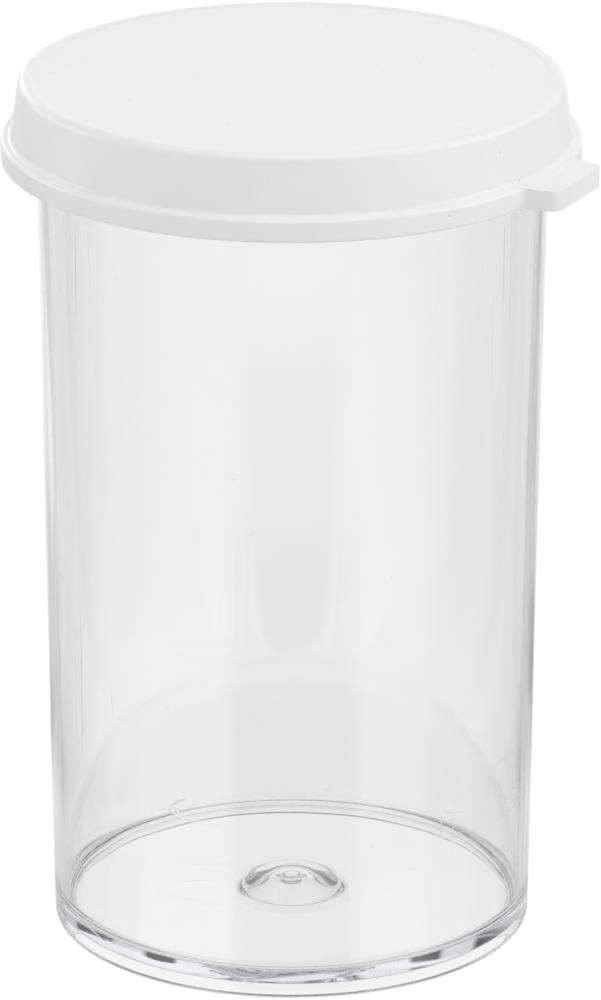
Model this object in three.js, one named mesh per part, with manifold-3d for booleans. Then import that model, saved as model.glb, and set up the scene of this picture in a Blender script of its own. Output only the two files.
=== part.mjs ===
// A clear flat-bottomed sample vial with a white push-on cap that has a thumb tab.
// Millimetres, +Z up. The origin is on the vial's axis, on the plane it stands on.

import * as THREE from "three";
import { mergeVertices } from "three/addons/utils/BufferGeometryUtils.js";
import Module from "manifold-3d";

// Driving dimensions, shared by both pieces.
const SEGMENTS = 48; // a multiple of four, so that the facets of both pieces stay parallel
const RUNNING_CLEARANCE = 0.05; // the cap's snap ring over the vial's bead, and its plug in the bore

// Vial: a thin tapered wall on a slab floor that stands on a narrow foot ring.
const VIAL_RADIUS_AT_BASE = 21.85;
const VIAL_TAPER = 0.0151; // growth of the radius for each millimetre of height
const VIAL_WALL = 1.1;
const VIAL_RIM_TOP = 78.4;
const FLOOR_TOP = 2.3;
const FLOOR_FILLET_WIDTH = 0.8;
const FLOOR_FILLET_HEIGHT = 1.3;
const UNDERSIDE_RECESS = 1.05;
const FOOT_RING_WIDTH = 1.2;
const FOOT_RING_DRAFT = 0.35;
const FOOT_EDGE_RADIUS = 0.35;
const BEAD_RADIUS = 23.3;
const BEAD_BOTTOM = 76.6;
const BEAD_LEAD_OUT = 0.35;
const BEAD_TOP = 77.4;

// The moulding gate: a dimple under the floor, a nub in it, and a dome above it.
const DOME_RADIUS = 5.6;
const DOME_FLAT_RADIUS = 2.2;
const DOME_HEIGHT = 1.25;
const DIMPLE_RADIUS = 4.4;
const DIMPLE_FLAT_RADIUS = 1.5;
const DIMPLE_DEPTH = 1.35;
const GATE_NUB_RADIUS = 0.8;
const GATE_NUB_TIP_RADIUS = 0.64;
const GATE_NUB_LENGTH = 0.4;
const GATE_NUB_ROOT = 0.1;

// Cap: a disc with a flared skirt, a flange at the foot of the skirt, and a plug ring inside.
const CAP_TOP = 80;
const CAP_PANEL = 1.3;
const CAP_PANEL_DISH = 0.1;
const CAP_DISH_RADIUS = 23;
const CAP_DISH_SLOPE = 0.3;
const CAP_TOP_RADIUS = 24.4;
const CAP_TOP_ROUNDING = 0.8;
const SKIRT_FOOT_RADIUS = 25;
const SKIRT_FOOT_FILLET = 0.3;
const SKIRT_DRAFT_DEGREES = 8;
const SKIRT_INNER_RADIUS = 23.65;
const FLANGE_RADIUS = 25.95;
const FLANGE_TOP = 74.6;
const FLANGE_BOTTOM = 72.5;
const FLANGE_ROUNDING = 0.35;
const FLANGE_LEAD_IN = 0.5;
const SNAP_RING_TOP = 76.2;
const SNAP_RING_BOTTOM = 75.4;
const SNAP_RING_LEAD = 0.3;
const PLUG_WALL = 0.9;
const PLUG_BOTTOM = 75.6;
const PLUG_TIP_TAPER = 0.35;

// Thumb tab: a tapered tongue on the flange. Its plan is drawn along +X, then turned.
const TAB_DIRECTION_DEGREES = -45; // midway between +X and -Y
const TAB_THICKNESS = 1.85;
const TAB_ROOT_HALF_WIDTH = 5.1;
const TAB_END_HALF_WIDTH = 4.35;
const TAB_END = 28.45;
const TAB_CORNER_RADIUS = 0.9;
const TAB_CORNER_FLARE = 0.25;
const TAB_ROOT_FILLET = 0.4;
const TAB_ROOT_CURVE = 0.15;
const TAB_BURIED_EDGE = 25.05; // where the tongue starts, inside the flange

const vialOuterRadius = (z) => VIAL_RADIUS_AT_BASE + VIAL_TAPER * z;
const vialInnerRadius = (z) => vialOuterRadius(z) - VIAL_WALL;

const point = (radius, z) => new THREE.Vector2(radius, z);

// Points on a round corner, from one angle to another in degrees, both ends included.
function arc(centreRadius, centreZ, radius, fromDegrees, toDegrees, steps) {
  return Array.from({ length: steps + 1 }, (_, i) => {
    const angle = THREE.MathUtils.degToRad(fromDegrees + ((toDegrees - fromDegrees) * i) / steps);
    return point(centreRadius + radius * Math.cos(angle), centreZ + radius * Math.sin(angle));
  });
}

// A smooth hill with a flat top, from its foot in to the axis.
function hill(baseZ, radius, flatRadius, height, steps) {
  const slope = Array.from({ length: steps + 1 }, (_, i) => {
    const share = i / steps;
    const rise = (1 - Math.cos(Math.PI * share)) / 2;
    return point(radius - (radius - flatRadius) * share, baseZ + height * rise);
  });
  return [...slope, point(0, baseZ + height)];
}

// Turns a profile, listed from the axis outwards and back again, about the Z axis.
function turned(profile) {
  const geometry = new THREE.LatheGeometry(profile, SEGMENTS);
  geometry.rotateX(Math.PI / 2);
  return geometry;
}

function vialBodyGeometry() {
  const footOuter = vialOuterRadius(0) - FOOT_EDGE_RADIUS;
  const footInner = footOuter - FOOT_RING_WIDTH;
  const recessRadius = footInner - FOOT_RING_DRAFT;
  const nubTop = UNDERSIDE_RECESS + DIMPLE_DEPTH;
  const rimRadius = VIAL_WALL / 2;
  const rimCentreZ = VIAL_RIM_TOP - rimRadius;
  const rimCentreRadius = vialOuterRadius(rimCentreZ) - rimRadius;
  const filletZ = FLOOR_TOP + FLOOR_FILLET_HEIGHT;
  const filletRadius = vialInnerRadius(filletZ) - FLOOR_FILLET_WIDTH;

  const dimple = hill(UNDERSIDE_RECESS, DIMPLE_RADIUS, DIMPLE_FLAT_RADIUS, DIMPLE_DEPTH, 6)
    .reverse()
    .filter((p) => p.x > GATE_NUB_RADIUS);
  const nub = [
    point(0, nubTop - GATE_NUB_LENGTH),
    point(GATE_NUB_TIP_RADIUS, nubTop - GATE_NUB_LENGTH),
    point(GATE_NUB_RADIUS, nubTop - GATE_NUB_ROOT),
  ];
  const foot = [
    point(recessRadius, UNDERSIDE_RECESS),
    point(footInner, 0),
    ...arc(footOuter, FOOT_EDGE_RADIUS, FOOT_EDGE_RADIUS, -90, 0, 3),
  ];
  const bead = [
    point(vialOuterRadius(BEAD_BOTTOM), BEAD_BOTTOM),
    point(BEAD_RADIUS, BEAD_BOTTOM + BEAD_LEAD_OUT),
    point(BEAD_RADIUS, BEAD_TOP),
    point(vialOuterRadius(rimCentreZ), rimCentreZ),
  ];
  const rim = arc(rimCentreRadius, rimCentreZ, rimRadius, 30, 180, 5);
  const floorFillet = arc(0, 0, 1, 0, -90, 4).map((p) =>
    point(filletRadius + p.x * FLOOR_FILLET_WIDTH, filletZ + p.y * FLOOR_FILLET_HEIGHT),
  );
  const dome = hill(FLOOR_TOP, DOME_RADIUS, DOME_FLAT_RADIUS, DOME_HEIGHT, 8);
  return turned([...nub, ...dimple, ...foot, ...bead, ...rim, ...floorFillet, ...dome]);
}

function capDiscGeometry() {
  const panelUnder = CAP_TOP - CAP_PANEL;
  const plugOuter = vialInnerRadius(PLUG_BOTTOM) - RUNNING_CLEARANCE;
  const plugInner = plugOuter - PLUG_WALL;
  const snapRadius = BEAD_RADIUS + RUNNING_CLEARANCE;

  const plug = [
    point(0, panelUnder),
    point(plugInner, panelUnder),
    point(plugInner, PLUG_BOTTOM),
    point(plugOuter - PLUG_TIP_TAPER, PLUG_BOTTOM),
    point(plugOuter, PLUG_BOTTOM + 2 * PLUG_TIP_TAPER),
    point(plugOuter, panelUnder),
  ];
  const skirtInside = [
    point(SKIRT_INNER_RADIUS, panelUnder),
    point(SKIRT_INNER_RADIUS, SNAP_RING_TOP + SNAP_RING_LEAD),
    point(snapRadius, SNAP_RING_TOP),
    point(snapRadius, SNAP_RING_BOTTOM),
    point(SKIRT_INNER_RADIUS, SNAP_RING_BOTTOM - SNAP_RING_LEAD),
    point(SKIRT_INNER_RADIUS, FLANGE_BOTTOM + FLANGE_LEAD_IN),
    point(SKIRT_INNER_RADIUS + FLANGE_LEAD_IN, FLANGE_BOTTOM),
  ];
  const flangeCentre = FLANGE_RADIUS - FLANGE_ROUNDING;
  const flange = [
    ...arc(flangeCentre, FLANGE_BOTTOM + FLANGE_ROUNDING, FLANGE_ROUNDING, -90, 0, 2),
    ...arc(flangeCentre, FLANGE_TOP - FLANGE_ROUNDING, FLANGE_ROUNDING, 0, 90, 3),
  ];
  const topCentre = CAP_TOP_RADIUS - CAP_TOP_ROUNDING;
  const skirtOutside = [
    ...arc(
      SKIRT_FOOT_RADIUS + SKIRT_FOOT_FILLET,
      FLANGE_TOP + SKIRT_FOOT_FILLET,
      SKIRT_FOOT_FILLET,
      270,
      180,
      2,
    ),
    ...arc(topCentre, CAP_TOP - CAP_TOP_ROUNDING, CAP_TOP_ROUNDING, SKIRT_DRAFT_DEGREES, 90, 4),
  ];
  const dish = [
    point(CAP_DISH_RADIUS + CAP_DISH_SLOPE, CAP_TOP),
    point(CAP_DISH_RADIUS, CAP_TOP - CAP_PANEL_DISH),
    point(0, CAP_TOP - CAP_PANEL_DISH),
  ];
  return turned([...plug, ...skirtInside, ...flange, ...skirtOutside, ...dish]);
}

// The tongue in plan: a trapezium with round outer corners and curved roots.
function thumbTabGeometry() {
  const rootY = TAB_ROOT_HALF_WIDTH + TAB_ROOT_FILLET;
  const rootX = Math.sqrt(FLANGE_RADIUS ** 2 - rootY ** 2);
  const curveX = rootX + TAB_ROOT_CURVE;
  const sideX = FLANGE_RADIUS + TAB_ROOT_FILLET / 2;
  const cornerX = TAB_END - TAB_CORNER_RADIUS;
  const cornerY = TAB_END_HALF_WIDTH + TAB_CORNER_FLARE;
  const endY = TAB_END_HALF_WIDTH - TAB_CORNER_RADIUS;
  const outline = new THREE.Shape();
  outline.moveTo(TAB_BURIED_EDGE, -rootY);
  outline.lineTo(rootX, -rootY);
  outline.quadraticCurveTo(curveX, -TAB_ROOT_HALF_WIDTH, sideX, -TAB_ROOT_HALF_WIDTH);
  outline.lineTo(cornerX, -cornerY);
  outline.quadraticCurveTo(TAB_END, -TAB_END_HALF_WIDTH, TAB_END, -endY);
  outline.lineTo(TAB_END, endY);
  outline.quadraticCurveTo(TAB_END, TAB_END_HALF_WIDTH, cornerX, cornerY);
  outline.lineTo(sideX, TAB_ROOT_HALF_WIDTH);
  outline.quadraticCurveTo(curveX, TAB_ROOT_HALF_WIDTH, rootX, rootY);
  outline.lineTo(TAB_BURIED_EDGE, rootY);
  outline.closePath();
  const geometry = new THREE.ExtrudeGeometry(outline, {
    depth: TAB_THICKNESS,
    bevelEnabled: false,
    curveSegments: 5,
  });
  geometry.translate(0, 0, FLANGE_BOTTOM);
  geometry.rotateZ(THREE.MathUtils.degToRad(TAB_DIRECTION_DEGREES));
  return geometry;
}

const wasm = await Module();
wasm.setup();

function toManifold(geometry) {
  geometry.deleteAttribute("normal");
  geometry.deleteAttribute("uv");
  const merged = mergeVertices(geometry, 1e-5);
  const vertProperties = new Float32Array(merged.attributes.position.array);
  const triVerts = new Uint32Array(merged.index.array);
  return new wasm.Manifold(new wasm.Mesh({ numProp: 3, vertProperties, triVerts }));
}

function toGeometry(solid) {
  const mesh = solid.getMesh();
  const geometry = new THREE.BufferGeometry();
  geometry.setAttribute("position", new THREE.BufferAttribute(mesh.vertProperties, 3));
  geometry.setIndex(new THREE.BufferAttribute(mesh.triVerts, 1));
  geometry.computeVertexNormals();
  return geometry;
}

// Clear, colourless polystyrene with a polished surface.
function clearPolystyrene() {
  return new THREE.MeshStandardMaterial({
    color: 0xeef1f3,
    roughness: 0.05,
    metalness: 0,
    transparent: true,
    opacity: 0.25,
  });
}

// White polyethylene with a soft, satin surface.
function whitePolyethylene() {
  return new THREE.MeshStandardMaterial({ color: 0xf1f1f0, roughness: 0.45, metalness: 0 });
}

const vialBody = new THREE.Mesh(vialBodyGeometry(), clearPolystyrene());
vialBody.name = "vial_body";

const capSolid = toManifold(capDiscGeometry()).add(toManifold(thumbTabGeometry()));
const snapCap = new THREE.Mesh(toGeometry(capSolid), whitePolyethylene());
snapCap.name = "snap_cap";

const group = new THREE.Group();
group.add(vialBody, snapCap);

export default group;
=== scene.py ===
import math

import bmesh
import bpy
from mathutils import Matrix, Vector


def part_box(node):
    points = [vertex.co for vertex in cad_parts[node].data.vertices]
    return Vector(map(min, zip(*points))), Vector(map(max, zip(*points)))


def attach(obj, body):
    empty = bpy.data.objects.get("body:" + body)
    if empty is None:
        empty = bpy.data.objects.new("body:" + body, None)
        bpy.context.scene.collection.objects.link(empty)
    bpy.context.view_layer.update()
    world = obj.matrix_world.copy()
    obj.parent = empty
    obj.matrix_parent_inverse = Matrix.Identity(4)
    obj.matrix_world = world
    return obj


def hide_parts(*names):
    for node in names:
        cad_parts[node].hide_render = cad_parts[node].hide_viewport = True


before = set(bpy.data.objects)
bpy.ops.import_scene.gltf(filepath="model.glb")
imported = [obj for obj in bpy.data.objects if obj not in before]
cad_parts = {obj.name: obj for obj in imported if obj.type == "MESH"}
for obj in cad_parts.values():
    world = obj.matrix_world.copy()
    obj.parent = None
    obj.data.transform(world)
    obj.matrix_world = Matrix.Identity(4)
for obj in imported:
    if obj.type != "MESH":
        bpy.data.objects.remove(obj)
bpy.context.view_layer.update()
mm = 0.001


def inMm(length):
    # the frame's single precision leaves noise after the second place
    return round(length / mm, 2)


def freshStart():
    # an operator acts on all that is selected, so nothing is left selected
    if bpy.context.object and bpy.context.object.mode != "OBJECT":
        bpy.ops.object.mode_set(mode="OBJECT")
    bpy.ops.object.select_all(action="DESELECT")


def arcPoints(centreR, centreZ, radius, fromDeg, toDeg, steps):
    points = []
    for i in range(steps + 1):
        a = math.radians(fromDeg + (toDeg - fromDeg) * i / steps)
        points.append((centreR + radius * math.cos(a), centreZ + radius * math.sin(a)))
    return points


def hillPoints(baseZ, radius, flat, height, steps):
    # from the foot of a round hill in to the edge of its flat top, with a soft bend at both
    points = []
    for i in range(steps + 1):
        t = i / steps
        points.append((radius - (radius - flat) * t, baseZ + height * (1 - math.cos(math.pi * t)) / 2))
    return points


def turnRings(name, rings, segments):
    # one circle, extruded ring by ring up and down the outline, then closed at both poles
    freshStart()
    radius, height = rings[0]
    bpy.ops.mesh.primitive_circle_add(vertices=segments, radius=radius * mm, fill_type="NGON",
                                      location=(0, 0, 0), rotation=(0, 0, 0))
    piece = bpy.context.object
    piece.name = name
    bpy.ops.object.mode_set(mode="EDIT")
    bpy.ops.mesh.select_all(action="SELECT")
    bpy.ops.transform.translate(value=(0, 0, height * mm))
    bpy.ops.mesh.select_mode(type="EDGE")
    for nextR, nextZ in rings[1:]:
        bpy.ops.mesh.extrude_edges_move(TRANSFORM_OT_translate={"value": (0, 0, (nextZ - height) * mm)})
        scale = nextR / radius
        bpy.ops.transform.resize(value=(scale, scale, 1), center_override=(0, 0, nextZ * mm))
        radius, height = nextR, nextZ
    bpy.ops.mesh.edge_face_add()
    bpy.ops.mesh.select_all(action="SELECT")
    bpy.ops.mesh.normals_make_consistent(inside=False)
    bpy.ops.object.mode_set(mode="OBJECT")
    return piece


def finishShape(piece, sharpFrom):
    # smooth shading up to the sharp edges, and flat faces that stay flat beside them
    freshStart()
    piece.select_set(True)
    bpy.context.view_layer.objects.active = piece
    bpy.ops.object.shade_smooth_by_angle(angle=math.radians(sharpFrom))
    weighted = piece.modifiers.new("evenNormals", "WEIGHTED_NORMAL")
    weighted.keep_sharp = True
    weighted.weight = 100
    bpy.ops.object.modifier_apply(modifier=weighted.name)


vialLow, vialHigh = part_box("vial_body")

# millimetres, from the foot up
vial = {
    "segments": 256,
    "baseRadius": 21.85,
    "taper": 0.0151,            # growth of the radius for each millimetre up
    "wall": 1.1,
    "wallLevels": (8.0, 16.0, 24.0, 32.0, 40.0, 48.0, 56.0, 64.0, 72.0, 76.0),
    "lowLevelsOutside": (1.0, 2.0, 4.0),
    "lowLevelInside": 5.5,
    "footWidth": 1.2,
    "footEdge": 0.35,           # rounding of the foot ring's outer edge
    "footDraft": 0.35,          # how far the ring's inner face leans in
    "footLean": 18,             # the same in degrees
    "footRounding": 0.15,
    "recess": 1.05,             # height of the floor's underside
    "recessRounding": 0.12,
    "roundingSetBack": 0.1,     # keeps both roundings on the leaning face
    "floorTop": 2.3,
    "floorRings": (10.0, 16.0),
    "filletWide": 0.8,
    "filletHigh": 1.3,
    "nubRadius": 0.8,
    "nubRounding": 0.24,
    "nubLength": 0.4,
    "dimpleRadius": 4.4,
    "dimpleFlat": 1.5,
    "dimpleDepth": 1.35,
    "domeRadius": 5.6,
    "domeFlat": 2.2,
    "domeHeight": 1.25,
    "beadRadius": inMm(vialHigh.x),
    "beadBottom": 76.6,
    "beadTop": 77.4,
    "beadRise": 0.42,           # height of the slope under the bead
    "beadEase": (0.02, 0.09),   # in and down from the slope's top
    "rimTop": inMm(vialHigh.z),
    "sharpFrom": 35,
}


def outerRadius(z):
    return vial["baseRadius"] + vial["taper"] * z


def undersideRings():
    # from the nub out through the dimple to the foot ring's outer edge
    v = vial
    nubFlat = v["nubRadius"] - v["nubRounding"]
    nubZ = v["recess"] + v["dimpleDepth"] - v["nubLength"]
    rings = [(nubFlat, nubZ)]
    rings += arcPoints(nubFlat, nubZ + v["nubRounding"], v["nubRounding"], -60, 0, 3)
    rings += reversed(hillPoints(v["recess"], v["dimpleRadius"], v["dimpleFlat"], v["dimpleDepth"], 28))
    rings += [(r, v["recess"]) for r in v["floorRings"]]
    footOuter = outerRadius(0) - v["footEdge"]
    footInner = footOuter - v["footWidth"]
    corner = v["recessRounding"]
    rings += arcPoints(footInner - v["footDraft"] - v["roundingSetBack"], v["recess"] - corner, corner,
                       90, v["footLean"], 4)
    corner = v["footRounding"]
    rings += arcPoints(footInner + v["roundingSetBack"], corner, corner, 180 + v["footLean"], 270, 4)
    rings += arcPoints(footOuter, v["footEdge"], v["footEdge"], -90, 0, 8)
    return rings


def rimRings():
    # the snap bead and the rounded rim above it
    v = vial
    easeIn, easeDown = v["beadEase"]
    slopeTop = v["beadBottom"] + v["beadRise"]
    rings = [(outerRadius(v["beadBottom"]), v["beadBottom"])]
    rings += [(v["beadRadius"] - easeIn, slopeTop - easeDown), (v["beadRadius"], slopeTop)]
    rings += [(v["beadRadius"], v["beadTop"])]
    rounding = v["wall"] / 2
    rimZ = v["rimTop"] - rounding
    rings += arcPoints(outerRadius(rimZ) - rounding, rimZ, rounding, 20, 180, 12)
    return rings


def insideRings():
    # down the bore, round the oval inside corner, and over the floor to the dome
    v = vial
    levels = (v["lowLevelInside"],) + v["wallLevels"]
    rings = [(outerRadius(z) - v["wall"], z) for z in reversed(levels)]
    filletZ = v["floorTop"] + v["filletHigh"]
    filletR = outerRadius(filletZ) - v["wall"] - v["filletWide"]
    for r, z in arcPoints(0, 0, 1, 0, -90, 12):
        rings.append((filletR + r * v["filletWide"], filletZ + z * v["filletHigh"]))
    rings += [(r, v["floorTop"]) for r in reversed(v["floorRings"])]
    rings += hillPoints(v["floorTop"], v["domeRadius"], v["domeFlat"], v["domeHeight"], 32)
    rings += [(v["domeFlat"] / 2, v["floorTop"] + v["domeHeight"])]
    return rings


def makeVial():
    rings = undersideRings()
    rings += [(outerRadius(z), z) for z in vial["lowLevelsOutside"] + vial["wallLevels"]]
    rings += rimRings() + insideRings()
    piece = turnRings("clearVial", rings, vial["segments"])
    finishShape(piece, vial["sharpFrom"])
    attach(piece, "vial")
    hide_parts("vial_body")
    return piece


capLow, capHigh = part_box("snap_cap")

cap = {
    "segments": 256,
    "top": inMm(capHigh.z),
    "panel": 1.3,
    "underRings": (2.0, 10.0),
    "dish": 0.1,
    "dishRadius": 23.0,
    # (out from the dish's radius, down from the top) of the step from the lip to the dish
    "lipStep": ((0.35, 0.0), (0.2, 0.02), (0.0, 0.08), (-0.15, 0.1)),
    "dishRings": (20.0, 12.0, 2.0),
    "topRadius": 24.4,
    "topRounding": 0.8,
    "skirtFoot": 25.0,
    "skirtRings": ((0.12, 1.2), (0.3, 2.6)),    # in from the skirt's foot, up from the flange
    "cove": 0.46,               # hollow fillet at the foot of the skirt
    "skirtInner": 23.65,
    "skirtCorner": 0.1,
    "flangeRadius": inMm(-capLow.x),
    "flangeTop": 74.6,
    "flangeBottom": inMm(capLow.z),
    "flangeRounding": 0.35,
    "flangeUnderRing": 24.9,
    "mouthChamfer": 0.5,
    "snapRadius": 23.35,
    "snapTop": 76.2,
    "snapBottom": 75.4,
    "snapSlope": 0.3,
    "plugOuter": 21.84,
    "plugWall": 0.9,
    "plugBottom": 75.6,
    "plugRoot": 0.3,
    "plugTip": 0.2,
    "plugLead": (0.35, 0.7),    # in and up, the chamfer that guides it into the bore
    "sharpFrom": 35,
}


def plugRings():
    # from the middle of the underside down round the plug ring
    c = cap
    under = c["top"] - c["panel"]
    inner = c["plugOuter"] - c["plugWall"]
    leadIn, leadUp = c["plugLead"]
    rings = [(r, under) for r in c["underRings"]]
    rings += [(inner - c["plugRoot"], under), (inner, under - c["plugRoot"])]
    rings += [(inner, c["plugBottom"] + c["plugTip"]), (inner + c["plugTip"], c["plugBottom"])]
    rings += [(c["plugOuter"] - leadIn, c["plugBottom"]), (c["plugOuter"], c["plugBottom"] + leadUp)]
    return rings


def grooveRings():
    # the groove that takes the vial's rim, the snap ring and the mouth
    c = cap
    under = c["top"] - c["panel"]
    corner, slope, chamfer = c["skirtCorner"], c["snapSlope"], c["mouthChamfer"]
    rings = [(c["plugOuter"], under - corner), (c["plugOuter"] + corner, under)]
    rings += [(c["skirtInner"] - corner, under), (c["skirtInner"], under - corner)]
    rings += [(c["skirtInner"], c["snapTop"] + slope), (c["snapRadius"], c["snapTop"])]
    rings += [(c["snapRadius"], c["snapBottom"]), (c["skirtInner"], c["snapBottom"] - slope)]
    rings += [(c["skirtInner"], c["flangeBottom"] + chamfer)]
    rings += [(c["skirtInner"] + chamfer, c["flangeBottom"])]
    return rings


def outsideRings():
    # flange, cove, skirt, rounded top edge and the dished top
    c = cap
    r, t, cove = c["flangeRounding"], c["topRounding"], c["cove"]
    lean = math.degrees(math.atan2(c["skirtFoot"] - c["topRadius"], c["top"] - t - c["flangeTop"]))
    rings = [(c["flangeUnderRing"], c["flangeBottom"])]
    rings += arcPoints(c["flangeRadius"] - r, c["flangeBottom"] + r, r, -90, 0, 6)
    rings += arcPoints(c["flangeRadius"] - r, c["flangeTop"] - r, r, 0, 86, 7)
    rings += reversed(arcPoints(c["skirtFoot"] + cove, c["flangeTop"] + cove, cove, 180 + lean, 270, 7))
    rings += [(c["skirtFoot"] - inwards, c["flangeTop"] + up) for inwards, up in c["skirtRings"]]
    rings += arcPoints(c["topRadius"] - t, c["top"] - t, t, lean, 90, 10)
    rings += [(c["dishRadius"] + out, c["top"] - down) for out, down in c["lipStep"]]
    rings += [(ring, c["top"] - c["dish"]) for ring in c["dishRings"]]
    return rings


tab = {
    "thickness": 1.85,
    "rootHalf": 5.1,            # half widths: at the flange, and at the end without its round corners
    "endHalf": 4.55,
    "end": 28.45,               # from the vial's axis
    "corner": 0.9,
    "cornerSteps": (0, 15, 30, 45, 58, 70, 80, 90),
    "flare": 0.4,               # hollow curve where its sides leave the flange
    "flareSteps": (20, 35, 50, 62, 74, 90),
    "rootDepth": 0.6,           # where the sides start, in from the flange's edge
    "rootRise": (0.2, 1.1),     # extra thickness at the flange, and the length it fades over
    "buried": 24.9,
    "edge": 0.55,
    "edgeFrom": 60,             # degrees: edges this sharp are rounded
    "direction": -45.0,
}


def tabHalfWidth(x, rootX):
    t = tab
    side = t["rootHalf"] + (t["endHalf"] - t["rootHalf"]) * (x - rootX) / (t["end"] - rootX)
    if x < rootX + t["flare"]:
        u = (rootX + t["flare"] - x) / t["flare"]
        side += t["flare"] * (1 - math.sqrt(max(0.0, 1 - u * u)))
    fromEnd = t["end"] - x
    if fromEnd < t["corner"]:
        u = 1 - fromEnd / t["corner"]
        side -= t["corner"] * (1 - math.sqrt(max(0.0, 1 - u * u)))
    return side


def tabThickness(x, rootX):
    rise, length = tab["rootRise"]
    share = max(0.0, min(1.0, (rootX + length - x) / length))
    return tab["thickness"] + rise * share ** 2


def tabStations(rootX):
    # the places along the tab where its section is set
    t = tab
    stations = [t["buried"], rootX]
    for a in t["flareSteps"]:
        stations.append(rootX + t["flare"] * (1 - math.cos(math.radians(a))))
    stations.append((rootX + t["flare"] + t["end"] - t["corner"]) / 2)
    for a in t["cornerSteps"]:
        stations.append(t["end"] - t["corner"] * (1 - math.sin(math.radians(a))))
    return stations


def selectTabEdges(mesh):
    # the long edges at the top and bottom and the outer end's, but not the buried end's or the upright ones
    t = tab
    touching = 1e-6
    for e in mesh.edges:
        sharp = len(e.link_faces) == 2 and e.calc_face_angle(0) > math.radians(t["edgeFrom"])
        buried = all(abs(corner.co.x - t["buried"] * mm) < touching for corner in e.verts)
        upright = abs(e.verts[0].co.z - e.verts[1].co.z) > 0.1 * mm
        e.select = sharp and not buried and not upright
    mesh.select_flush_mode()


def makeTab():
    # an upright oblong, extruded outwards section by section: curved root, tapering sides, round corners
    bottom = cap["flangeBottom"]
    rootX = cap["flangeRadius"] - tab["rootDepth"]
    stations = tabStations(rootX)
    freshStart()
    bpy.ops.mesh.primitive_plane_add(size=1, location=(0, 0, 0), rotation=(0, math.radians(90), 0))
    piece = bpy.context.object
    piece.name = "thumbTab"
    bpy.ops.object.transform_apply(location=True, rotation=True, scale=True)
    bpy.ops.object.mode_set(mode="EDIT")
    bpy.ops.mesh.select_all(action="SELECT")
    x = stations[0]
    wide, tall = tabHalfWidth(x, rootX) * 2, tabThickness(x, rootX)
    bpy.ops.transform.resize(value=(1, wide * mm, tall * mm), center_override=(0, 0, 0))
    bpy.ops.transform.translate(value=(x * mm, 0, (bottom + tall / 2) * mm))
    for nextX in stations[1:]:
        bpy.ops.mesh.extrude_region_move(TRANSFORM_OT_translate={"value": ((nextX - x) * mm, 0, 0)})
        nextWide, nextTall = tabHalfWidth(nextX, rootX) * 2, tabThickness(nextX, rootX)
        bpy.ops.transform.resize(value=(1, nextWide / wide, nextTall / tall),
                                 center_override=(nextX * mm, 0, bottom * mm))
        x, wide, tall = nextX, nextWide, nextTall
    bpy.ops.mesh.select_all(action="SELECT")
    bpy.ops.mesh.normals_make_consistent(inside=False)
    bpy.ops.mesh.select_mode(type="EDGE")
    bpy.ops.mesh.select_all(action="DESELECT")
    selectTabEdges(bmesh.from_edit_mesh(piece.data))
    bmesh.update_edit_mesh(piece.data)
    bpy.ops.mesh.bevel(offset=tab["edge"] * mm, segments=5, affect="EDGES", clamp_overlap=True)
    bpy.ops.object.mode_set(mode="OBJECT")
    piece.rotation_euler = (0, 0, math.radians(tab["direction"]))
    bpy.ops.object.transform_apply(location=True, rotation=True, scale=True)
    return piece


def makeCap():
    piece = turnRings("whiteCap", plugRings() + grooveRings() + outsideRings(), cap["segments"])
    tongue = makeTab()
    freshStart()
    piece.select_set(True)
    bpy.context.view_layer.objects.active = piece
    join = piece.modifiers.new("joinTab", "BOOLEAN")
    join.operation = "UNION"
    join.object = tongue
    join.solver = "EXACT"
    bpy.ops.object.modifier_apply(modifier=join.name)
    bpy.data.objects.remove(tongue, do_unlink=True)
    finishShape(piece, cap["sharpFrom"])
    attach(piece, "cap")
    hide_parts("snap_cap")
    return piece


def newMaterial(name):
    material = bpy.data.materials.new(name)
    material.use_nodes = True
    nodes = material.node_tree.nodes
    return material, nodes, material.node_tree.links, nodes["Principled BSDF"]


def newGroup(name, inputs, output):
    # (name, kind, value) for each input; one output
    group = bpy.data.node_groups.new(name, "ShaderNodeTree")
    for label, kind, value in inputs:
        socket = group.interface.new_socket(name=label, in_out="INPUT", socket_type=kind)
        if value is not None:
            socket.default_value = value
    group.interface.new_socket(name=output, in_out="OUTPUT", socket_type="NodeSocketFloat")
    return group, group.nodes.new("NodeGroupInput"), group.nodes.new("NodeGroupOutput")


def placeGroup(nodes, links, group, vector, values):
    node = nodes.new("ShaderNodeGroup")
    node.node_tree = group
    links.new(vector, node.inputs["Vector"])
    for label, value in values.items():
        node.inputs[label].default_value = value
    return node.outputs[0]


def calculate(nodes, links, operation, first, second, clamp=False):
    node = nodes.new("ShaderNodeMath")
    node.operation = operation
    node.use_clamp = clamp
    for i, source in enumerate((first, second)):
        if isinstance(source, (int, float)):
            node.inputs[i].default_value = source
        else:
            links.new(source, node.inputs[i])
    return node.outputs[0]


def stepBetween(nodes, links, value, reach):
    # 0 below the reach, 1 above it, with a soft rise
    step = nodes.new("ShaderNodeMapRange")
    step.interpolation_type = "SMOOTHSTEP"
    step.inputs["From Min"].default_value = reach[0]
    step.inputs["From Max"].default_value = reach[1]
    links.new(value, step.inputs["Value"])
    return step.outputs["Result"]


def mixColours(nodes, links, factor, first, second):
    # each of the two is a grey level, a colour or another node's output
    mix = nodes.new("ShaderNodeMix")
    mix.data_type = "RGBA"
    links.new(factor, mix.inputs["Factor"])
    for name, source in (("A", first), ("B", second)):
        if isinstance(source, float):
            mix.inputs[name].default_value = (source, source, source, 1)
        elif isinstance(source, tuple):
            mix.inputs[name].default_value = source
        else:
            links.new(source, mix.inputs[name])
    return mix.outputs["Result"]


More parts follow.
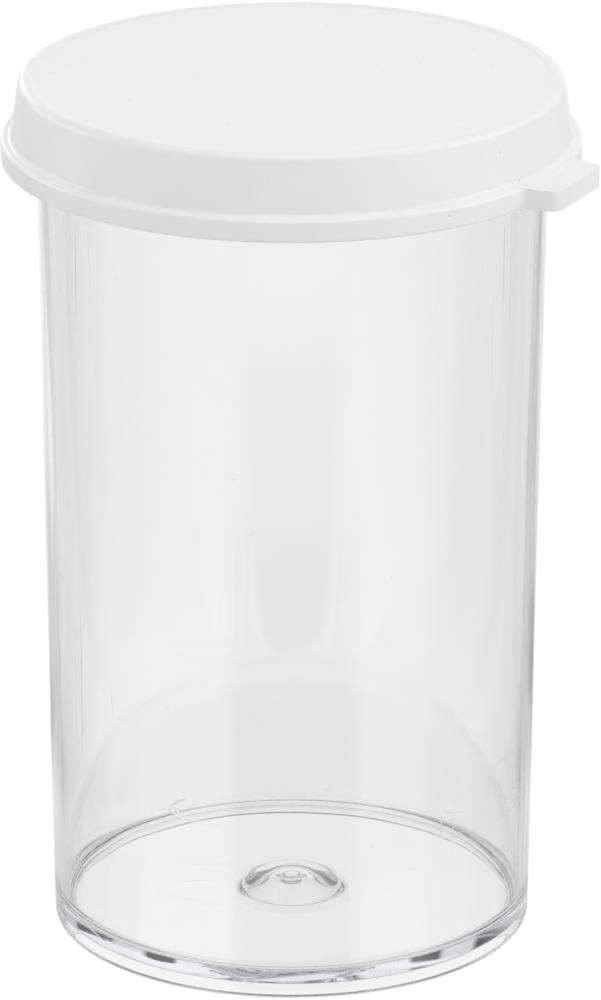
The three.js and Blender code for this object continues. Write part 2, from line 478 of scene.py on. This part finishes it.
def makeHairlines():
    # long fine scratches: thin contour lines of a stretched noise, in patches
    patchEdge = 8
    group, given, result = newGroup("hairlines", (
        ("Vector", "NodeSocketVector", None), ("Stretch", "NodeSocketVector", (1, 1, 1)),
        ("Turn", "NodeSocketVector", (0, 0, 0)), ("Width", "NodeSocketFloat", 0.01),
        ("Patch Scale", "NodeSocketFloat", 60), ("Sparse", "NodeSocketFloat", 0.5)), "Mask")
    nodes, links = group.nodes, group.links
    turned = nodes.new("ShaderNodeMapping")
    links.new(given.outputs["Vector"], turned.inputs["Vector"])
    links.new(given.outputs["Stretch"], turned.inputs["Scale"])
    links.new(given.outputs["Turn"], turned.inputs["Rotation"])
    waves = nodes.new("ShaderNodeTexNoise")
    waves.inputs["Scale"].default_value = 1
    waves.inputs["Detail"].default_value = 0
    links.new(turned.outputs[0], waves.inputs["Vector"])
    off = calculate(nodes, links, "SUBTRACT", waves.outputs["Fac"], 0.5)
    near = calculate(nodes, links, "ABSOLUTE", off, 0)
    inWidths = calculate(nodes, links, "DIVIDE", near, given.outputs["Width"])
    line = calculate(nodes, links, "SUBTRACT", 1, inWidths, True)
    patch = nodes.new("ShaderNodeTexNoise")
    patch.inputs["Detail"].default_value = 1
    links.new(given.outputs["Vector"], patch.inputs["Vector"])
    links.new(given.outputs["Patch Scale"], patch.inputs["Scale"])
    over = calculate(nodes, links, "SUBTRACT", patch.outputs["Fac"], given.outputs["Sparse"])
    share = calculate(nodes, links, "MULTIPLY", over, patchEdge, True)
    links.new(calculate(nodes, links, "MULTIPLY", line, share), result.inputs["Mask"])
    return group


def makeSpecks():
    # small round specks of dust in a few of the cells
    softEdge = 0.4
    group, given, result = newGroup("specks", (
        ("Vector", "NodeSocketVector", None), ("Scale", "NodeSocketFloat", 200),
        ("Size", "NodeSocketFloat", 0.05), ("Share", "NodeSocketFloat", 0.1)), "Mask")
    nodes, links = group.nodes, group.links
    cells = nodes.new("ShaderNodeTexVoronoi")
    links.new(given.outputs["Vector"], cells.inputs["Vector"])
    links.new(given.outputs["Scale"], cells.inputs["Scale"])
    inside = calculate(nodes, links, "SUBTRACT", given.outputs["Size"], cells.outputs["Distance"])
    edge = calculate(nodes, links, "MULTIPLY", given.outputs["Size"], softEdge)
    disc = calculate(nodes, links, "DIVIDE", inside, edge, True)
    chance = nodes.new("ShaderNodeSeparateColor")
    links.new(cells.outputs["Color"], chance.inputs[0])
    chosen = calculate(nodes, links, "LESS_THAN", chance.outputs[0], given.outputs["Share"])
    links.new(calculate(nodes, links, "MULTIPLY", disc, chosen), result.inputs["Mask"])
    return group


def makeClouds():
    # soft cloudy change from place to place
    group, given, result = newGroup("clouds", (
        ("Vector", "NodeSocketVector", None), ("Stretch", "NodeSocketVector", (1, 1, 1)),
        ("Detail", "NodeSocketFloat", 3), ("Low", "NodeSocketFloat", 0.35),
        ("High", "NodeSocketFloat", 0.65)), "Value")
    nodes, links = group.nodes, group.links
    scaled = nodes.new("ShaderNodeMapping")
    links.new(given.outputs["Vector"], scaled.inputs["Vector"])
    links.new(given.outputs["Stretch"], scaled.inputs["Scale"])
    noise = nodes.new("ShaderNodeTexNoise")
    noise.inputs["Scale"].default_value = 1
    links.new(scaled.outputs[0], noise.inputs["Vector"])
    links.new(given.outputs["Detail"], noise.inputs["Detail"])
    span = nodes.new("ShaderNodeMapRange")
    links.new(noise.outputs["Fac"], span.inputs["Value"])
    links.new(given.outputs["Low"], span.inputs["From Min"])
    links.new(given.outputs["High"], span.inputs["From Max"])
    links.new(span.outputs["Result"], result.inputs["Value"])
    return group


def blend(nodes, links, base, parts):
    # base plus each mask times its amount
    total = base
    for mask, amount in parts:
        total = calculate(nodes, links, "ADD", total, calculate(nodes, links, "MULTIPLY", mask, amount))
    return total


def bumpFrom(nodes, links, height, strength, distance):
    bump = nodes.new("ShaderNodeBump")
    bump.inputs["Strength"].default_value = strength
    bump.inputs["Distance"].default_value = distance
    links.new(height, bump.inputs["Height"])
    return bump.outputs["Normal"]


polystyrene = {
    "ior": 1.59,
    "clear": (0.99, 0.99, 0.99, 1),
    "soiled": (0.62, 0.62, 0.6, 1),
    "deepColour": (0.86, 0.86, 0.93, 1),    # what a long way through the foot or the floor tints
    "deepDensity": 15,
    "rough": 0.015,
    "lineRough": 0.1,
    "smudgeRough": 0.035,
    "dustDark": 0.8,
    "lineDark": 0.1,
    "lineDeep": 0.035,
    "bump": 0.5,
    "bumpHigh": 0.0003,
    "steepLines": {"Stretch": (180, 180, 7), "Turn": (0.5, 0.25, 0), "Width": 0.0045, "Patch Scale": 50,
                   "Sparse": 0.52},
    "steepFrom": (0.004, 0.008),            # the upright scratches are on the wall, not on the floor
    "levelLines": {"Stretch": (40, 40, 230), "Turn": (0.5, -0.4, 0.6), "Width": 0.005, "Patch Scale": 110,
                   "Sparse": 0.57},
    "dust": {"Scale": 500, "Size": 0.055, "Share": 0.2},
    "smudge": {"Stretch": (45, 45, 25), "Detail": 4, "Low": 0.5, "High": 0.75},
    "flow": {"Stretch": (70, 70, 22), "Detail": 1, "Low": 0.2, "High": 0.8},
}


def makePolystyrene(hairlines, specks, clouds):
    p = polystyrene
    material, nodes, links, shader = newMaterial("clearPolystyrene")
    shader.inputs["Metallic"].default_value = 0
    shader.inputs["IOR"].default_value = p["ior"]
    shader.inputs["Transmission Weight"].default_value = 1
    where = nodes.new("ShaderNodeTexCoord").outputs["Object"]
    split = nodes.new("ShaderNodeSeparateXYZ")
    links.new(where, split.inputs[0])
    onWall = stepBetween(nodes, links, split.outputs["Z"], p["steepFrom"])
    steep = placeGroup(nodes, links, hairlines, where, p["steepLines"])
    steep = calculate(nodes, links, "MULTIPLY", steep, onWall)
    level = placeGroup(nodes, links, hairlines, where, p["levelLines"])
    dust = placeGroup(nodes, links, specks, where, p["dust"])
    smudge = placeGroup(nodes, links, clouds, where, p["smudge"])
    flow = placeGroup(nodes, links, clouds, where, p["flow"])
    rough = blend(nodes, links, p["rough"], ((steep, p["lineRough"]), (level, p["lineRough"]),
                                             (smudge, p["smudgeRough"])))
    links.new(rough, shader.inputs["Roughness"])
    marks = blend(nodes, links, 0.0, ((dust, p["dustDark"]), (steep, p["lineDark"]),
                                      (level, p["lineDark"])))
    links.new(mixColours(nodes, links, marks, p["clear"], p["soiled"]), shader.inputs["Base Color"])
    height = blend(nodes, links, 0.0, ((flow, 1.0), (steep, -p["lineDeep"]), (level, -p["lineDeep"])))
    links.new(bumpFrom(nodes, links, height, p["bump"], p["bumpHigh"]), shader.inputs["Normal"])
    absorb = nodes.new("ShaderNodeVolumeAbsorption")
    absorb.inputs["Color"].default_value = p["deepColour"]
    absorb.inputs["Density"].default_value = p["deepDensity"]
    links.new(absorb.outputs[0], nodes["Material Output"].inputs["Volume"])
    return material


polyethylene = {
    "ior": 1.52,
    "whiteLow": (0.852, 0.843, 0.85, 1),
    "whiteHigh": (0.87, 0.864, 0.87, 1),
    "soiled": (0.3, 0.29, 0.27, 1),
    "rough": 0.3,
    "mottleRough": 0.06,
    "lineRough": 0.1,
    "speckDark": 0.55,
    "lineDark": 0.06,
    "lineDeep": 0.2,
    "bump": 0.35,
    "bumpHigh": 0.000015,
    "acrossLines": {"Stretch": (160, 8, 160), "Turn": (0.1, 0, 0.7), "Width": 0.003, "Patch Scale": 60,
                    "Sparse": 0.52},
    "alongLines": {"Stretch": (8, 170, 170), "Turn": (0, 0.1, 0.2), "Width": 0.003, "Patch Scale": 80,
                   "Sparse": 0.53},
    "specks": {"Scale": 500, "Size": 0.055, "Share": 0.2},
    "mottle": {"Stretch": (120, 120, 120), "Detail": 5, "Low": 0.35, "High": 0.65},
    "grain": {"Stretch": (2200, 2200, 2200), "Detail": 2, "Low": 0.3, "High": 0.7},
}


def makePolyethylene(hairlines, specks, clouds):
    p = polyethylene
    material, nodes, links, shader = newMaterial("whitePolyethylene")
    shader.inputs["Metallic"].default_value = 0
    shader.inputs["IOR"].default_value = p["ior"]
    where = nodes.new("ShaderNodeTexCoord").outputs["Object"]
    across = placeGroup(nodes, links, hairlines, where, p["acrossLines"])
    along = placeGroup(nodes, links, hairlines, where, p["alongLines"])
    dark = placeGroup(nodes, links, specks, where, p["specks"])
    mottle = placeGroup(nodes, links, clouds, where, p["mottle"])
    grain = placeGroup(nodes, links, clouds, where, p["grain"])
    rough = blend(nodes, links, p["rough"], ((mottle, p["mottleRough"]), (across, p["lineRough"]),
                                             (along, p["lineRough"])))
    links.new(rough, shader.inputs["Roughness"])
    white = mixColours(nodes, links, mottle, p["whiteLow"], p["whiteHigh"])
    marks = blend(nodes, links, 0.0, ((dark, p["speckDark"]), (across, p["lineDark"]),
                                      (along, p["lineDark"])))
    links.new(mixColours(nodes, links, marks, white, p["soiled"]), shader.inputs["Base Color"])
    height = blend(nodes, links, 0.0, ((grain, 1.0), (across, -p["lineDeep"]), (along, -p["lineDeep"])))
    links.new(bumpFrom(nodes, links, height, p["bump"], p["bumpHigh"]), shader.inputs["Normal"])
    return material


def dress(piece, material):
    piece.data.materials.clear()
    piece.data.materials.append(material)


lens = {
    "azimuth": -18.0,      # degrees from -Y towards +X
    "distance": 0.60774,   # from the vial's axis, level
    "height": 0.25904,
    "pitch": 19.837,       # degrees below level
    "focal": 256.0,
    "sensor": 36.0,
    "shiftX": 0.009,
    "shiftY": 0.0,
    "nearest": 0.01,
    "bounces": 48,         # light has to cross the slab floor many times before it leaves
}


def makeCamera():
    data = bpy.data.cameras.new("camera")
    camera = bpy.data.objects.new("camera", data)
    bpy.context.scene.collection.objects.link(camera)
    data.lens = lens["focal"]
    data.sensor_width = lens["sensor"]
    data.shift_x = lens["shiftX"]
    data.shift_y = lens["shiftY"]
    data.clip_start = lens["nearest"]
    side = math.radians(lens["azimuth"])
    camera.location = (lens["distance"] * math.sin(side), -lens["distance"] * math.cos(side), lens["height"])
    camera.rotation_euler = (math.radians(90 - lens["pitch"]), 0, side)
    bpy.context.scene.camera = camera
    bpy.context.scene.view_settings.view_transform = "Standard"
    rays = bpy.context.scene.cycles
    rays.max_bounces = lens["bounces"]
    rays.glossy_bounces = lens["bounces"]
    rays.transmission_bounces = lens["bounces"]


room = {
    "floorSize": 6.0,
    "seenWhite": 1.03,        # floor and background as the camera sees them
    "throughWhite": 0.985,    # the background through clear plastic, a little dimmer than the camera sees it: painted shade
    "bounceWhite": 0.86,      # the floor's own glow as diffuse rays see it, lighting the cap from below in place of bounced light
    # (metres from the axis, brightness) of the floor through the plastic: a painted shadow of the vial, a
    # faintly dimmer ring round it
    "through": ((0.0, 0.955), (0.021, 0.955), (0.024, 0.94), (0.045, 0.945), (0.08, 0.985)),
    "rampReach": 0.1,         # metres that the ramp of that painted shadow covers
    "focus": 0.55,            # centre of the cards, in vial radii in front of the axis
    "mirroredFrom": 86,       # the cards past this angle lie on both sides

    # painted reflections, what the walls mirror: (degrees from the camera's side, brightness) of light and
    # dark cards painted into the floor's glow, which only mirrored rays see
    "sides": ((74, 0.25), (86, 0.22), (112, 0.3), (126, 0.35), (134, 0.6), (145, 0.65), (149, 0.45),
              (153, 0.7), (160, 1.0), (180, 1.0)),
    "farFront": ((-82, 0.5), (-72, 0.55), (-34, 0.55), (-24, 0.5), (26, 0.45), (35, 0.42), (62, 0.3)),
    "nearFront": ((-82, 0.5), (-72, 0.6), (-34, 0.6), (-24, 0.04), (26, 0.04), (35, 0.42), (62, 0.42)),
    "closeFront": ((-82, 0.5), (-72, 0.85), (-34, 0.85), (-24, 0.04), (26, 0.04), (35, 0.75), (62, 0.75)),
    "closeSides": ((74, 0.5), (86, 0.5), (112, 0.6), (126, 0.7), (145, 0.8), (160, 1.0), (180, 1.0)),
    "under": ((0, 0.8), (118, 0.8), (135, 0.6), (180, 0.6)),
    "underMiddle": 0.35,
    # metres from the axis where one set of cards gives way to the next
    "middleReach": (0.0155, 0.0165),
    "underReach": (0.0225, 0.024),
    "closeReach": (0.035, 0.055),
    "farReach": (0.11, 0.17),

    # painted reflections, what the slab floor mirrors: light and dark cards painted into the sky, which only
    # mirrored rays see
    "airSides": ((74, 0.5), (86, 0.3), (113, 0.75), (115, 0.05), (127, 0.12), (134, 0.05), (136, 0.8),
                 (146, 0.85), (147, 0.1), (155, 0.15), (156, 1.0), (180, 1.0)),
    "airPlain": ((74, 0.5), (86, 0.6), (112, 0.85), (180, 1.0)),
    # by the sine of the height angle: twice the share of airSides, and twice the share of brightness
    "slabBand": ((0.33, 0), (0.35, 2), (0.44, 2), (0.46, 0)),
    "airRise": ((0.0, 1.9), (0.44, 1.9), (0.52, 0.6), (0.8, 0.6), (0.9, 1.8)),
    "skyLow": 0.57,           # plain light on the cap from the horizon, and from overhead
    "skyHigh": 0.69,
}


def halfRamp(nodes, links, value, stops):
    # a ramp holds up to 1, so it stores halves and the lights double them
    ramp = nodes.new("ShaderNodeValToRGB")
    ramp.color_ramp.interpolation = "EASE"
    elements = ramp.color_ramp.elements
    for i, (place, level) in enumerate(stops):
        stop = elements[i] if i < 2 else elements.new(place)
        stop.position = place
        stop.color = (level / 2, level / 2, level / 2, 1)
    links.new(value, ramp.inputs["Fac"])
    return ramp.outputs["Color"]


def paintedCardRamp(nodes, links, around, front, sides):
    # brightness by angle from the camera's side
    stops = [(-angle, level) for angle, level in reversed(sides) if angle > room["mirroredFrom"]]
    stops += list(front) + list(sides)
    return halfRamp(nodes, links, around, [(angle / 360 + 0.5, level) for angle, level in stops])


def cardAngle(nodes, links, vector, reach):
    # 0 to 1 round the vertical axis, with 0.5 at the camera's side
    side = math.radians(lens["azimuth"])
    centred = nodes.new("ShaderNodeMapping")
    centred.vector_type = "TEXTURE"
    centred.inputs["Location"].default_value = (reach * math.sin(side), -reach * math.cos(side), 0)
    centred.inputs["Rotation"].default_value = (0, 0, side - math.pi / 2)
    links.new(vector, centred.inputs["Vector"])
    around = nodes.new("ShaderNodeTexGradient")
    around.gradient_type = "RADIAL"
    links.new(centred.outputs[0], around.inputs["Vector"])
    return around.outputs["Fac"]


def byRay(nodes, links, mirrored, through, diffuse):
    # one brightness for each kind of ray: through the plastic, mirrored in it, diffuse, from the camera
    path = nodes.new("ShaderNodeLightPath")
    turned = calculate(nodes, links, "GREATER_THAN", path.outputs["Glossy Depth"], 0.5)
    level = mixColours(nodes, links, turned, through, mirrored)
    level = mixColours(nodes, links, path.outputs["Is Diffuse Ray"], level, diffuse)
    return mixColours(nodes, links, path.outputs["Is Camera Ray"], level, room["seenWhite"] / 2)


def makeFloorWithPaintedLight():
    # plain white to the eye and self-lit; painted reflections: the vial's walls mirror light and dark cards
    # painted round it, and a painted shadow: rays through the plastic see a dimmer ring
    material = bpy.data.materials.new("paleFloorWithPaintedLight")
    material.use_nodes = True
    nodes, links = material.node_tree.nodes, material.node_tree.links
    nodes.clear()
    output = nodes.new("ShaderNodeOutputMaterial")
    glow = nodes.new("ShaderNodeEmission")
    links.new(glow.outputs[0], output.inputs["Surface"])
    where = nodes.new("ShaderNodeTexCoord").outputs["Object"]
    around = cardAngle(nodes, links, where, room["focus"] * vial["baseRadius"] * mm)
    measure = nodes.new("ShaderNodeVectorMath")
    measure.operation = "LENGTH"
    links.new(where, measure.inputs[0])
    away = measure.outputs["Value"]
    # painted reflections: light and dark cards, seen only by mirrored rays
    far = paintedCardRamp(nodes, links, around, room["farFront"], room["sides"])
    near = paintedCardRamp(nodes, links, around, room["nearFront"], room["sides"])
    close = paintedCardRamp(nodes, links, around, room["closeFront"], room["closeSides"])
    under = paintedCardRamp(nodes, links, around, (), room["under"])
    paintedCards = mixColours(nodes, links, stepBetween(nodes, links, away, room["farReach"]), near, far)
    paintedCards = mixColours(nodes, links, stepBetween(nodes, links, away, room["closeReach"]), close, paintedCards)
    middle = stepBetween(nodes, links, away, room["middleReach"])
    under = mixColours(nodes, links, middle, room["underMiddle"] / 2, under)
    paintedCards = mixColours(nodes, links, stepBetween(nodes, links, away, room["underReach"]), under, paintedCards)
    # painted shadow: a dimmer ring round the vial, seen only by rays through the plastic
    scale = 1 / room["rampReach"]
    ring = calculate(nodes, links, "MULTIPLY", away, scale)
    through = halfRamp(nodes, links, ring, [(place * scale, level) for place, level in room["through"]])
    links.new(byRay(nodes, links, paintedCards, through, room["bounceWhite"] / 2), glow.inputs["Color"])
    glow.inputs["Strength"].default_value = 2
    return material


def makeSky():
    world = bpy.data.worlds.new("whiteRoom")
    bpy.context.scene.world = world
    world.use_nodes = True
    nodes, links = world.node_tree.nodes, world.node_tree.links
    background = nodes["Background"]
    where = nodes.new("ShaderNodeTexCoord").outputs["Generated"]
    around = cardAngle(nodes, links, where, 0)
    split = nodes.new("ShaderNodeSeparateXYZ")
    links.new(where, split.inputs[0])
    up = split.outputs["Z"]
    # painted reflections: light and dark cards in the sky, seen only by mirrored rays; diffuse rays get the
    # plain sky light
    plain = paintedCardRamp(nodes, links, around, room["farFront"], room["airPlain"])
    sides = paintedCardRamp(nodes, links, around, room["farFront"], room["airSides"])
    paintedCards = mixColours(nodes, links, halfRamp(nodes, links, up, room["slabBand"]), plain, sides)
    dim = nodes.new("ShaderNodeVectorMath")
    dim.operation = "SCALE"
    links.new(paintedCards, dim.inputs[0])
    links.new(halfRamp(nodes, links, up, room["airRise"]), dim.inputs["Scale"])
    plainLight = nodes.new("ShaderNodeMapRange")
    plainLight.inputs["To Min"].default_value = room["skyLow"] / 2
    plainLight.inputs["To Max"].default_value = room["skyHigh"] / 2
    links.new(up, plainLight.inputs["Value"])
    shown = byRay(nodes, links, dim.outputs[0], room["throughWhite"] / 2, plainLight.outputs["Result"])
    links.new(shown, background.inputs["Color"])
    background.inputs["Strength"].default_value = 2


# soft boxes: degrees from the camera's side, degrees up, distance, size, brightness
lamps = {
    "overhead": {"side": 10, "up": 70, "far": 0.8, "size": 0.4, "glow": 3.15},
    "right": {"side": 84, "up": 22, "far": 0.8, "size": 0.5, "glow": 1.85},
    "streak": {"side": -158, "up": 14, "far": 0.8, "size": 0.12, "glow": 7},
    "left": {"side": -108, "up": 10, "far": 0.8, "size": 0.5, "glow": 1.3},
}
lampAim = 0.05    # they face the vial's axis at this height


def makeLamp(name, lamp):
    data = bpy.data.lights.new(name, "AREA")
    data.shape = "SQUARE"
    data.size = lamp["size"]
    data.energy = lamp["glow"] * math.pi * lamp["size"] ** 2
    side = math.radians(lens["azimuth"] + lamp["side"])
    up = math.radians(lamp["up"])
    level = lamp["far"] * math.cos(up)
    light = bpy.data.objects.new(name, data)
    bpy.context.scene.collection.objects.link(light)
    light.location = (level * math.sin(side), -level * math.cos(side), lamp["far"] * math.sin(up) + lampAim)
    light.rotation_euler = (math.pi / 2 - up, 0, side)
    light.visible_camera = False
    light.visible_transmission = False


def makeRoom():
    freshStart()
    bpy.ops.mesh.primitive_plane_add(size=room["floorSize"], location=(0, 0, 0))
    floor = bpy.context.object
    floor.name = "floor"
    dress(floor, makeFloorWithPaintedLight())
    makeSky()
    for name, lamp in lamps.items():
        makeLamp(name, lamp)


makeCamera()
print("camera placed")
vialPiece = makeVial()
print("vial made", len(vialPiece.data.polygons), "faces")
capPiece = makeCap()
print("cap made", len(capPiece.data.polygons), "faces")
effects = (makeHairlines(), makeSpecks(), makeClouds())
dress(vialPiece, makePolystyrene(*effects))
dress(capPiece, makePolyethylene(*effects))
print("finishes made")
makeRoom()
print("room made")
